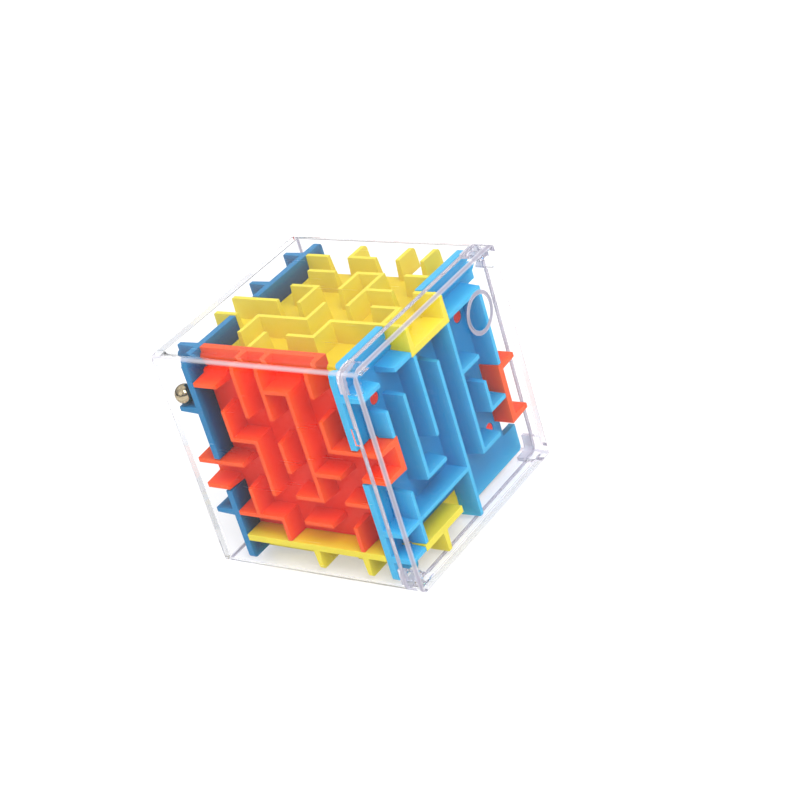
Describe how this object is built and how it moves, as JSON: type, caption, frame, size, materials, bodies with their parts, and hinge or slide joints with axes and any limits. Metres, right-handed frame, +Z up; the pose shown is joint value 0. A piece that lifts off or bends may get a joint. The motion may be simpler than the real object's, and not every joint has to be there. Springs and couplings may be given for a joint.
{
  "type": "cube maze ball puzzle",
  "caption": "Clear cube case around a hollow cube of coloured maze panels, with one loose steel ball that rolls in the lanes between the walls.",
  "frame": {"origin": "middle of the case's underside", "axes": "+Z up through the yellow top panel, +X out through the lid, -Y out through the orange front panel"},
  "size_m": [0.055, 0.055, 0.055],
  "materials": {
    "clear_case": "clear glossy moulded polystyrene",
    "orange_plastic": "semi-gloss moulded plastic, slightly waxy",
    "yellow_plastic": "semi-gloss moulded plastic, slightly waxy",
    "blue_plastic": "semi-gloss moulded plastic, slightly waxy",
    "polished_steel": "polished bearing ball"
  },
  "bodies": {
    "maze": {"case_body": "clear_case", "front_orange_panel": "orange_plastic", "back_orange_panel": "orange_plastic", "top_yellow_panel": "yellow_plastic", "bottom_yellow_panel": "yellow_plastic", "lid_side_blue_panel": "blue_plastic", "far_side_blue_panel": "blue_plastic"},
    "lid": {"case_lid": "clear_case"},
    "ball": {"steel_ball": "polished_steel"}
  },
  "joints": [
    {"name": "lid_pull", "type": "slide", "parent": "maze", "child": "lid", "axis": [1, 0, 0], "range_m": [0, 0.01]},
    {"name": "ball_roll", "type": "slide", "parent": "maze", "child": "ball", "axis": [0, 0, 1], "range_m": [0, 0.0078]}
  ]
}
